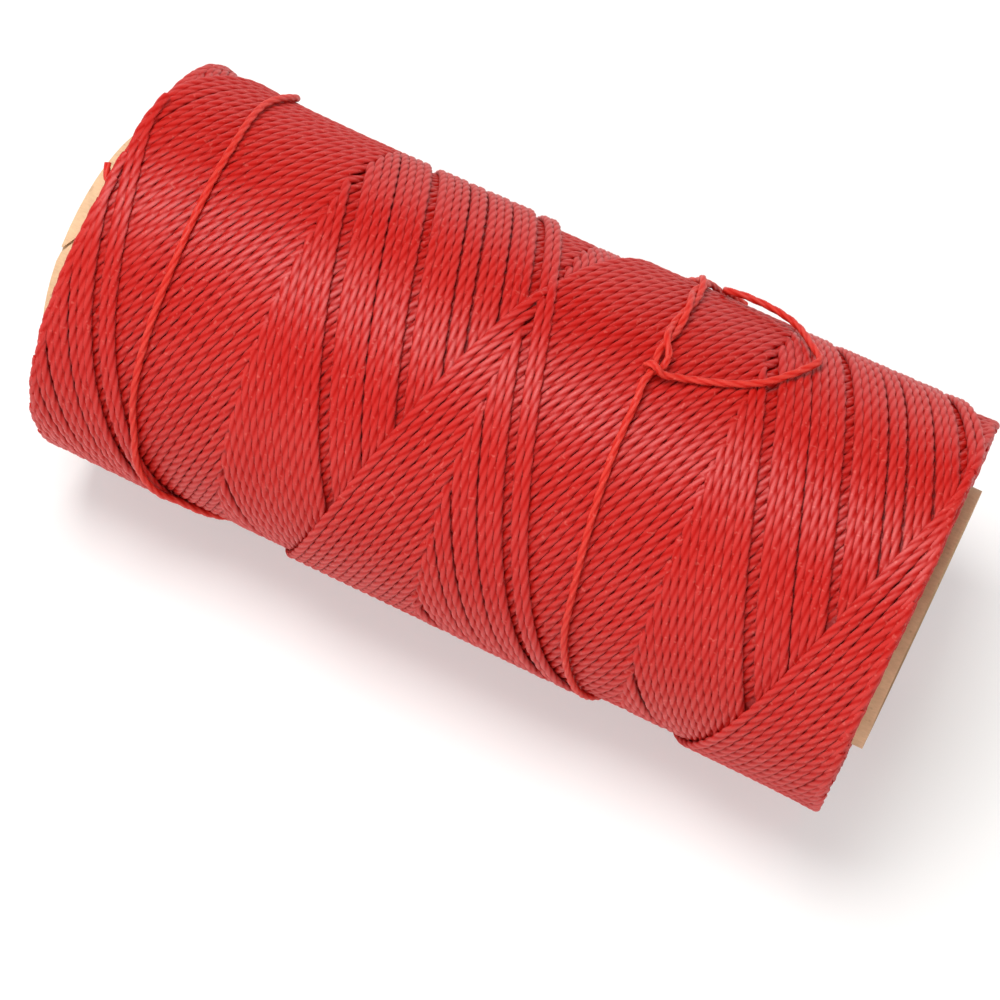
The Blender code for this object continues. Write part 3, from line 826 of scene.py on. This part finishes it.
class SPOOL_OT_wind_strands(bpy.types.Operator):
    """Winds the crossing strands that show on the surface and on both ends"""

    bl_idname = "spool.wind_strands"
    bl_label = "Wind Strands"

    def execute(self, context):
        sizes = context.scene.spool.winding
        most_rings = PIECE_TRIANGLES // (2 * sizes.profile_points)
        groups, rings = [[]], 0
        for line in shown_stretches(package(context)):
            if rings + len(line) > most_rings:
                groups.append([])
                rings = 0
            groups[-1].append(line)
            rings += len(line)
        for number, group in enumerate(groups, 1):
            piece = cord_piece(
                context, f"wound_strands_{number}", group, sizes.pressed_width, sizes.pressed_height)
            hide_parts("winding_outer_layer")
        return {"FINISHED"}


class SPOOL_OT_lay_loose_cord(bpy.types.Operator):
    """Lays the slack last wrap, its hitch and the loop that the end is left in"""

    bl_idname = "spool.lay_loose_cord"
    bl_label = "Lay Loose Cord"

    def execute(self, context):
        lines = loose_lines(package(context))
        for name, line in zip(("last_wrap", "hitch_knot", "tail_loop"), lines):
            piece = cord_piece(context, name + "_cord", [line], LOOSE_DIAMETER, 1.0, loose=True)
            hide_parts(name)
        return {"FINISHED"}


# Places on the cut end's line, from the middle of its solid, the first along from the left end.
CUT_START = (2 * MM, 1.0 * MM, 0.4 * MM)
CUT_TIP = (0.3 * MM, 1.9 * MM, 0.6 * MM)  # and the last along from the solid's own tip


class SPOOL_OT_leave_cut_end(bpy.types.Operator):
    """Leaves the cord's first end standing out of the left end face"""

    bl_idname = "spool.leave_cut_end"
    bl_label = "Leave Cut End"

    def execute(self, context):
        low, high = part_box("cut_end")
        middle = (low + high) / 2
        inside = Vector((LEFT_END, middle.y, middle.z)) + Vector(CUT_START)
        tip = Vector((low.x, middle.y, middle.z)) + Vector(CUT_TIP)
        line = spline_through([inside, (middle + inside) / 2, middle, tip], LOOSE_SPACING)
        piece = cord_piece(context, "cut_end_cord", [line], LOOSE_DIAMETER, 1.0, loose=True)
        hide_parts("cut_end")
        return {"FINISHED"}


INNER_SMOOTHING = 1.2 * MM
INNER_STEP = 4  # cells between two points of the inner layers
INNER_DEPTH = 1.15 * MM  # below the strands' backs
INNER_END = 0.8 * MM  # inside the winding's ends
INNER_SHADE = 0.45  # of the cord's colour, in the shade under the strands


class SPOOL_OT_fill_inner_layers(bpy.types.Operator):
    """Fills the package under its visible strands"""

    bl_idname = "spool.fill_inner_layers"
    bl_label = "Fill Inner Layers"

    def execute(self, context):
        winding = package(context)
        surface = smoothed_map(winding.surface, INNER_SMOOTHING)
        inside = (winding.columns > INNER_END) & (winding.columns < WINDING_LENGTH - INNER_END)
        rows = np.flatnonzero(inside)[::INNER_STEP]
        cells = np.arange(0, AROUND, INNER_STEP)
        outer = surface[np.ix_(rows, cells)] - INNER_DEPTH
        inner = np.full(len(cells), winding.inner_radius)
        rings = [
            place(cells / AROUND, np.full(len(cells), winding.columns[row]), radii)
            for row, radii in ((rows[0], inner), *zip(rows, outer), (rows[-1], inner))]
        piece = ring_mesh("inner_layers", rings)
        piece.data.materials.append(inner_material(context))
        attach(piece, BODY)
        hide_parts("winding_core")
        return {"FINISHED"}


def ring_mesh(name, rings):
    """A closed mesh through rings of points, the last joined to the first."""
    count, around = len(rings), len(rings[0])
    faces = []
    for ring in range(count):
        after = (ring + 1) % count
        for point in range(around):
            beside = (point + 1) % around
            faces.append((
                ring * around + point, ring * around + beside,
                after * around + beside, after * around + point))
    mesh = bpy.data.meshes.new(name)
    mesh.from_pydata(np.concatenate(rings).tolist(), [], faces)
    mesh.shade_smooth()
    made = bpy.data.objects.new(name, mesh)
    bpy.context.scene.collection.objects.link(made)
    face_outwards(mesh)
    return made


def face_outwards(mesh):
    """Turns the faces of a closed mesh outwards."""
    work = bmesh.new()
    work.from_mesh(mesh)
    bmesh.ops.recalc_face_normals(work, faces=work.faces)
    if work.calc_volume(signed=True) < 0:
        bmesh.ops.reverse_faces(work, faces=work.faces)
    work.to_mesh(mesh)
    work.free()


def inner_material(context):
    """The layers under the surface, in shade and seen only through slots."""
    colours = context.scene.spool.finish
    material = new_material("inner_layers")
    tree = material.node_tree
    shader = principled(material, Roughness=0.6)
    where = node(tree, "ShaderNodeTexCoord").outputs["Object"]
    clouds = noise(tree, where, 900.0, 2.0, 0.6)
    colour = mixed(tree, clouds, colours.cord_shade_and_filaments, tuple(INNER_SHADE * c for c in colours.cord))
    tree.links.new(colour, shader.inputs["Base Color"])
    bump = node(tree, "ShaderNodeBump", {"Height": clouds, "Strength": 0.8, "Distance": 0.0004})
    tree.links.new(bump.outputs[0], shader.inputs["Normal"])
    return material


class SPOOL_OT_finish_tube(bpy.types.Operator):
    """Gives the tube's plies their kraft paper, the body and liner plies darkened by painted shade"""

    bl_idname = "spool.finish_tube"
    bl_label = "Finish Tube"

    def execute(self, context):
        # The body and liner plies show on the end faces and in the bore, and get painted shade there.
        for name, painted_shade in (("tube_outer_ply", 0.0), ("tube_body_ply", 0.35), ("tube_liner_ply", 0.2)):
            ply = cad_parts[name]
            ply.data.materials.clear()
            ply.data.materials.append(paper_material(context, "kraft_" + name, painted_shade))
        return {"FINISHED"}


CAMERA_AIM = (MIDDLE_X + 1.9 * MM, -7.8 * MM, AXIS_HEIGHT - 4.6 * MM)
CAMERA_AZIMUTH = 20.13  # degrees
CAMERA_ELEVATION = 59.99
CAMERA_ROLL = 7.41
CAMERA_DISTANCE = 0.3459  # metres
SOFTBOX_PLACE = (-0.10, -0.03, 0.58)
SOFTBOX_SIZE = 0.25
SOFTBOX_POWER = 3.0  # watts
WALLS_LEVEL = (2.2, 2.3)  # strength of the light from low down, in front and behind
CEILING_LEVEL = (0.6, 0.14)  # and from high up
FLOOR_DROP = 0.02 * MM  # below the plane that the package rests on
BACKDROP_SHARE = 0.4  # of the floor that the camera sees as the backdrop's plain white


class SPOOL_OT_set_stage(bpy.types.Operator):
    """Sets the pale floor, the soft studio lamps and the camera"""

    bl_idname = "spool.set_stage"
    bl_label = "Set Stage"

    def execute(self, context):
        scene = context.scene
        stage = scene.spool.stage
        scene.view_settings.view_transform = "Standard"
        add_floor(context, stage)
        add_lamp("overhead_softbox", SOFTBOX_PLACE, SOFTBOX_SIZE, SOFTBOX_POWER)
        world = bpy.data.worlds.new("studio")
        scene.world = world
        world.use_nodes = True
        tree = world.node_tree
        background = tree.nodes["Background"]
        background.inputs["Color"].default_value = (1.0, 1.0, 1.0, 1.0)
        direction = node(tree, "ShaderNodeTexCoord").outputs["Generated"]
        towards = node(tree, "ShaderNodeSeparateXYZ", {0: direction}).outputs
        ceiling = mapped(tree, towards["Y"], -0.7, 0.2, *CEILING_LEVEL)
        horizon = mapped(tree, towards["Y"], -0.5, 0.5, *WALLS_LEVEL)
        walls = mapped(tree, towards["Z"], 0.1, 0.48, horizon, ceiling)
        tree.links.new(walls, background.inputs["Strength"])
        camera = bpy.data.objects.new("camera", bpy.data.cameras.new("camera"))
        scene.collection.objects.link(camera)
        scene.camera = camera
        camera.data.lens = stage.lens
        camera.data.sensor_width = 36.0
        azimuth, elevation = math.radians(CAMERA_AZIMUTH), math.radians(CAMERA_ELEVATION)
        back = Vector((
            math.sin(azimuth) * math.cos(elevation), -math.cos(azimuth) * math.cos(elevation),
            math.sin(elevation)))
        turned = (-back).to_track_quat("-Z", "Y").to_matrix() @ Matrix.Rotation(
            math.radians(CAMERA_ROLL), 3, "Z")
        stand = Matrix.Translation(Vector(CAMERA_AIM) + back * CAMERA_DISTANCE)
        camera.matrix_world = stand @ turned.to_4x4()
        camera.data.clip_start = 0.01
        camera.data.clip_end = 20.0
        return {"FINISHED"}


def add_floor(context, stage):
    """A large pale floor, a hair below the package."""
    half = stage.floor_size / 2
    mesh = bpy.data.meshes.new("floor")
    corners = [
        (x, y, -FLOOR_DROP) for x, y in ((-half, -half), (half, -half), (half, half), (-half, half))]
    mesh.from_pydata(corners, [], [(0, 1, 2, 3)])
    floor = bpy.data.objects.new("floor", mesh)
    context.scene.collection.objects.link(floor)
    material = new_material("floor")
    shader = principled(material, Roughness=0.7)
    shader.inputs["Base Color"].default_value = (*stage.floor, 1.0)
    # The camera sees a share of the backdrop's white in it, so the shadow stays light.
    tree = material.node_tree
    white = node(tree, "ShaderNodeEmission", {"Strength": 1.0})
    seen = node(tree, "ShaderNodeLightPath").outputs["Is Camera Ray"]
    blend = node(tree, "ShaderNodeMixShader", {"Fac": maths(tree, "MULTIPLY", seen, BACKDROP_SHARE)})
    tree.links.new(shader.outputs["BSDF"], blend.inputs[1])
    tree.links.new(white.outputs["Emission"], blend.inputs[2])
    tree.links.new(blend.outputs["Shader"], tree.nodes["Material Output"].inputs["Surface"])
    mesh.materials.append(material)


def add_lamp(name, at, size, power):
    """A square softbox aimed at the package."""
    light = bpy.data.lights.new(name, "AREA")
    light.size = size
    light.energy = power
    lamp = bpy.data.objects.new(name, light)
    bpy.context.scene.collection.objects.link(lamp)
    aim = Vector((MIDDLE_X, 0, AXIS_HEIGHT)) - Vector(at)
    lamp.matrix_world = Matrix.Translation(at) @ aim.to_track_quat("-Z", "Y").to_matrix().to_4x4()


# ---------------------------------------------------------------- panel and registration

PIECE_OPERATORS = (
    SPOOL_OT_finish_tube,
    SPOOL_OT_fill_inner_layers,
    SPOOL_OT_wind_strands,
    SPOOL_OT_lay_loose_cord,
    SPOOL_OT_leave_cut_end,
    SPOOL_OT_set_stage,
)


class SPOOL_PT_pieces(bpy.types.Panel):
    """The spool's sizes, colours and pieces"""

    bl_idname = "SPOOL_PT_pieces"
    bl_label = "Waxed Thread Spool"
    bl_space_type = "VIEW_3D"
    bl_region_type = "UI"
    bl_category = "Spool"

    def draw(self, context):
        for group in (context.scene.spool.winding, context.scene.spool.finish, context.scene.spool.stage):
            box = self.layout.box()
            for name in group.bl_rna.properties.keys():
                if name not in ("rna_type", "name"):
                    box.prop(group, name)
        for operator in PIECE_OPERATORS:
            self.layout.operator(operator.bl_idname)


CLASSES = (WindingSizes, FinishColours, StageSizes, SpoolSettings, *PIECE_OPERATORS, SPOOL_PT_pieces)


def register():
    """Registers the classes and hangs the settings on the scene."""
    for entry in CLASSES:
        bpy.utils.register_class(entry)
    bpy.types.Scene.spool = PointerProperty(type=SpoolSettings)


def unregister():
    """Takes the settings and the classes away again."""
    del bpy.types.Scene.spool
    for entry in reversed(CLASSES):
        bpy.utils.unregister_class(entry)


def main():
    """Builds every piece and the stage."""
    register()
    for operator in PIECE_OPERATORS:
        family, name = operator.bl_idname.split(".")
        getattr(getattr(bpy.ops, family), name)()


if __name__ == "__main__":
    main()
